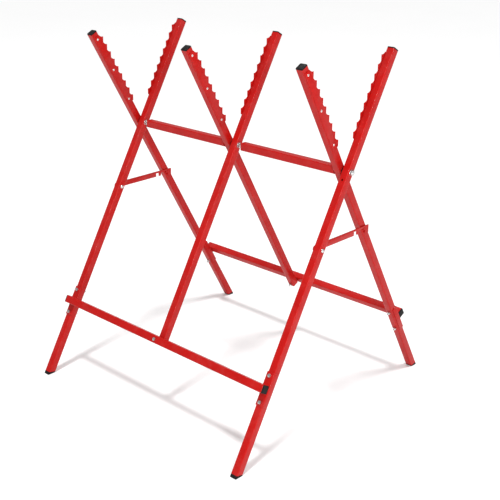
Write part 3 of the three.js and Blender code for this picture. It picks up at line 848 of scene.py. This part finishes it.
def rivet_head(radius, height):
    """A pop rivet's low dome with the mandrel's hole in its middle. It faces -X."""
    points = [(0, -0.2 * height), (radius * 0.26, -0.2 * height), (radius * 0.3, height * 0.9)]
    for i in range(6):
        turn = math.radians(12 + 78 * (1 - i / 5))
        points.append((radius * (0.34 + 0.66 * math.cos(turn)), height * math.sin(turn)))
    points.append((radius, 0))
    points.append((radius * 0.5, -0.1 * MM))
    points.append((0, -0.1 * MM - 0.25 * height))
    work = turned(points, 20)
    return placed(work, Matrix.Rotation(-math.pi / 2, 4, "Y"))


def frame_bolt(seat, grip):
    """An M5 hexagon bolt with its nut and threaded tip, along Y."""
    radius = FRAME_BOLT / 2
    tip = thread_profile(radius, FRAME_NUT + FRAME_TIP, pitch=0.8 * MM, depth=0.3 * MM)
    at_grip = Matrix.Translation((0, 0, grip))
    works = [
        placed(hex_block(FRAME_FLATS, FRAME_HEAD), Matrix.Rotation(math.pi, 4, "X")),
        turned([(0, -0.5 * MM), (radius, -0.5 * MM), (radius, grip), (0, grip + 0.1 * MM)], 24),
        placed(hex_block(FRAME_FLATS, FRAME_NUT, foot_chamfer=True, bore=radius + 0.05 * MM), at_grip),
        placed(turned([(0, -0.2 * MM)] + tip, 24), at_grip),
    ]
    return placed(merged(*works), along_y(0, seat))


def make_frame_fixings(kind, place, body, seed):
    bolt = frame_bolt(-HALF - SADDLE_SHEET, TUBE + SADDLE_SHEET + GAP)
    pattern = as_object(f"{kind}_bolt_pattern", bolt, ZINC)
    first = (-BAY + LANE, 0, -CROSSBAR_DROP + SADDLE_BOLT_SPACING / 2)
    made = in_rows(f"{kind}_saddle_bolts", pattern, ZINC, 2, (2 * BAY, 0, 0),
                   2, (0, 0, -SADDLE_BOLT_SPACING), first, seed, (0, 1, 0))
    nodes = [f"{kind}_{station}_saddle_bolt_{level}"
             for station in ("left", "right") for level in ("upper", "lower")]
    settle(made, place, body, "zinc_fasteners", *nodes)
    packing = washer(6 * MM, 2.4 * MM, SADDLE_SHEET - 2 * GAP)
    works = [
        frame_bolt(-OUT - HALF - GAP, OUT + TUBE + 2 * GAP),
        placed(packing, along_y(0, -HALF - SADDLE_SHEET + GAP)),
    ]
    through = placed(merged(*works), Matrix.Translation((LANE, 0, -CROSSBAR_DROP)))
    settle(as_object(f"{kind}_middle_leg_through_bolt", through, ZINC), place, body,
           "zinc_fasteners", f"{kind}_middle_leg_bolt")


def make_rivets(kind, place, arm, body, seed):
    pattern = as_object(f"{kind}_rivet_pattern", rivet_head(RIVET_RADIUS, RIVET_HEIGHT), ALUMINIUM)
    first = (-BAY + LANE - HALF - GAP - TOOTH_SHEET, 0, arm - RIVET_BELOW_END)
    made = in_rows(f"{kind}_tooth_rivets", pattern, ALUMINIUM, 3, (BAY, 0, 0),
                   3, (0, 0, -RIVET_SPACING), first, seed, (1, 0, 0))
    settle(made, place, body, "zinc_fasteners")


def make_spreader_rivets():
    """The rivets that the spreaders turn on: a set end sunk in the bar and a dome past the leg."""
    tail, tail_depth, shank, head, dome = 4.4 * MM, 1.0 * MM, 3 * MM, 5 * MM, 2.6 * MM
    seat = LANE + HALF + GAP + SPREADER_SHEET / 2
    points = [(0, 0), (tail, 0), (tail, tail_depth), (shank, tail_depth), (shank, seat),
              (head - 0.2 * MM, seat)]
    for i in range(7):
        turn = math.radians(90 * i / 6)
        points.append((head * math.cos(turn), seat + 0.3 * MM + dome * math.sin(turn)))
    work = placed(turned(points, 26), along_x(-LANE - SPREADER_SHEET / 2))
    pattern = as_object("spreader_rivet_pattern", work, ZINC)
    made = in_rows("front_spreader_rivets", pattern, ZINC, 2, (2 * BAY, 0, 0), 1, (0, 0, 0),
                   (-BAY + LANE, 0, -SPREADER_DROP), 5, (1, 0, 0))
    settle(made, FRONT, "front_frame", "zinc_fasteners", "left_spreader_rivet", "right_spreader_rivet")


def lock_nut():
    """An M8 lock nut on its washer, with the nylon ring's rolled collar, along Z."""
    bore, rolled, washer_thick = 4.05 * MM, 0.9 * MM, 1.2 * MM
    collar = [(bore, 6.45 * MM)]
    for i in range(5):
        turn = math.radians(90 * (1 - i / 4))
        collar.append((4.9 * MM + rolled * math.cos(turn), 5.55 * MM + rolled * math.sin(turn)))
    collar += [(6.0 * MM, 4.9 * MM), (bore, 4.9 * MM)]
    block = hex_block(PIVOT_FLATS, 4.4 * MM, foot_chamfer=True, bore=bore)
    return merged(washer(7.4 * MM, 4.2 * MM, washer_thick),
                  placed(block, Matrix.Translation((0, 0, washer_thick))), ring_of(collar))


def make_pivots():
    radius = PIVOT_BOLT / 2
    for station, side, _ in STATIONS:
        past = PIVOT_TIP if station == "right" else PIVOT_REACH
        tip = thread_profile(radius, past, pitch=1.25 * MM, depth=0.42 * MM)
        works = [
            placed(hex_block(PIVOT_FLATS, PIVOT_HEAD), Matrix.Rotation(math.pi, 4, "X")),
            turned([(0, -0.5 * MM), (radius, -0.5 * MM), (radius, 2 * OUTER),
                    (0, 2 * OUTER + 0.1 * MM)], 24),
            placed(turned([(0, -0.2 * MM)] + tip, 24), Matrix.Translation((0, 0, 2 * OUTER + GAP))),
        ]
        bolt = placed(merged(*works), along_x(-OUTER - GAP + side * BAY))
        settle(as_object(f"{station}_pivot_through_bolt", bolt, ZINC), AXIS, "rear_frame",
               "zinc_fasteners", f"{station}_pivot_bolt")
        nut = placed(lock_nut(), along_x(OUTER + GAP + side * BAY))
        settle(as_object(f"{station}_pivot_lock_nut", nut, ZINC), AXIS, "rear_frame",
               "zinc_fasteners", f"{station}_pivot_nut")


def make_rails():
    for station, side in (("left", -1), ("right", 0)):
        start = side * BAY + OUTER + RAIL_STANDOFF
        end = (side + 1) * BAY - OUTER - GAP
        shell = tube_shell(lambda x, y: 0, lambda x, y: end - start)
        inner = round_square(TUBE - 2 * WALL + 0.2 * MM, CORNER - WALL)
        plate = loops_to_mesh([[(x, y, z) for x, y in inner] for z in (0.4 * MM, 3 * MM)])
        rail = placed(merged(shell, plate), along_x(start))
        settle(as_object(f"{station}_rail_tube", rail, TUBE_RED), AXIS, "rear_frame",
               "red_powder_coat", f"{station}_rail")


# ------------------------------------------------------------------ welds

def weld_bead(length, lay):
    """A short coated weld, swollen at each pass of the torch, laid along its line by `lay`."""
    radius, passes, sag = 1.5 * MM, round(length / (1.7 * MM)), 0.14 * MM
    points = [(0, -length / 2)]
    for i in range(passes):
        height = -length / 2 + (i + 0.5) * length / passes
        taper = min(1, 0.72 + 0.28 * min(i, passes - 1 - i))
        points.append(((radius - sag) * taper, height - 0.36 * length / passes))
        points.append((radius * taper, height))
        points.append(((radius - sag) * taper, height + 0.36 * length / passes))
    points.append((0, length / 2))
    return placed(turned(points, 14), lay)


def make_saddle_welds(kind, place, body, seed):
    """Beads over and under each crossbar, where it crosses its saddles."""
    bead = as_object(f"{kind}_saddle_bead", weld_bead(19 * MM, along_x(0)), SHEET_RED)
    first = (-BAY + LANE, -HALF - SADDLE_SHEET - 0.6 * MM, -CROSSBAR_DROP + HALF + 0.3 * MM)
    made = in_rows(f"{kind}_saddle_welds", bead, SHEET_RED, 2, (2 * BAY, 0, 0),
                   2, (0, 0, -TUBE - 0.6 * MM), first, seed, (1, 0, 0))
    settle(made, place, body, "red_powder_coat")


def make_rail_welds():
    """Beads over and under each rail's fixed end, where it meets the next rear leg's side."""
    bead = as_object("rail_bead", weld_bead(13 * MM, along_y(0, 0)), TUBE_RED)
    first = (-OUTER - GAP - 0.7 * MM, -1 * MM, HALF + 0.4 * MM)
    made = in_rows("rear_rail_welds", bead, TUBE_RED, 2, (BAY, 0, 0),
                   2, (0, 2 * MM, -TUBE - 0.8 * MM), first, 11, (0, 1, 0))
    settle(made, AXIS, "rear_frame", "red_powder_coat")


# ------------------------------------------------------------------ the whole sawhorse

for kind, place, lean, arm, flip, body, seed in (
        ("front", FRONT, FRONT_LEAN, FRONT_ARM, 1, "front_frame", 3),
        ("rear", REAR, REAR_LEAN, REAR_ARM, -1, "rear_frame", 8)):
    for station, side, outer in STATIONS:
        here = place @ Matrix.Translation((flip * side * BAY + LANE, 0, 0))
        make_leg(kind, station, outer, flip * side == 1, here, lean, arm, body)
        make_arm_cap(kind, station, here, arm, body)
        make_toothed_plate(kind, station, here, arm, body)
        if outer:
            make_foot(kind, station, here, lean, body)
            make_saddle(kind, station, here, body)
    make_crossbar(kind, place, flip, body)
    make_frame_fixings(kind, place, body, seed)
    make_rivets(kind, place, arm, body, seed + 1)
    make_saddle_welds(kind, place, body, seed + 2)

make_spreader_rivets()
make_pivots()
make_rails()
make_rail_welds()
for station, side, outer in STATIONS:
    if outer:
        make_spreader(station, side)

for name, shown in frame["nodes"].items():
    if "spacer" in name or "stud" in name:
        shown.data.materials.clear()
        shown.data.materials.append(PLUG_BLACK if "spacer" in name else SHEET_RED)


# ------------------------------------------------------------------ studio

def studio_floor():
    work = bmesh.new()
    reach = 60
    for x, y in ((-reach, -reach), (reach, -reach), (reach, reach), (-reach, reach)):
        work.verts.new((x, y, 0))
    work.faces.new(work.verts)
    material, tree, shader, place = finish_of("studio_paper")
    grain = place_group(tree, COAT_GRAIN, place, Peel_Scale=60.0, Flow_Scale=0.8, Flow_Share=0.5)
    paper = blend_colour(tree, grain["Thickness"], (0.90, 0.90, 0.90), (0.93, 0.93, 0.93))
    link(tree, paper, shader.inputs["Base Color"])
    shader.inputs["Roughness"].default_value = 0.9
    shader.inputs["Specular IOR Level"].default_value = 0.1
    floor = as_object("studio_floor", work, material)
    floor.location.z = -0.0002


def soft_box(name, where, size, power):
    """A rectangular lamp that looks at the sawhorse's middle."""
    lamp = bpy.data.lights.new(name, "AREA")
    lamp.shape, lamp.size, lamp.size_y = "RECTANGLE", size[0], size[1]
    lamp.energy = power
    made = bpy.data.objects.new(name, lamp)
    made.location = where
    made.rotation_euler = (Vector((0, 0, 0.5)) - Vector(where)).to_track_quat("-Z", "Y").to_euler()
    bpy.context.scene.collection.objects.link(made)


def studio_light():
    world = bpy.data.worlds.new("studio_air")
    world.use_nodes = True
    world.node_tree.nodes["Background"].inputs["Color"].default_value = (1, 1, 1, 1)
    world.node_tree.nodes["Background"].inputs["Strength"].default_value = 0.40
    bpy.context.scene.world = world
    key = bpy.data.lights.new("overhead_key", "SUN")
    key.energy, key.angle = 2.15, math.radians(9)
    high = bpy.data.objects.new("overhead_key", key)
    high.rotation_euler = Vector((-0.12, 0.2, -1)).to_track_quat("-Z", "Y").to_euler()
    bpy.context.scene.collection.objects.link(high)
    soft_box("right_strip", (2.7, -1.55, 1.8), size=(0.10, 2.2), power=72)
    soft_box("back_fill", (-2.2, 1.9, 4.3), size=(1.6, 1.6), power=40)


studio_floor()
studio_light()
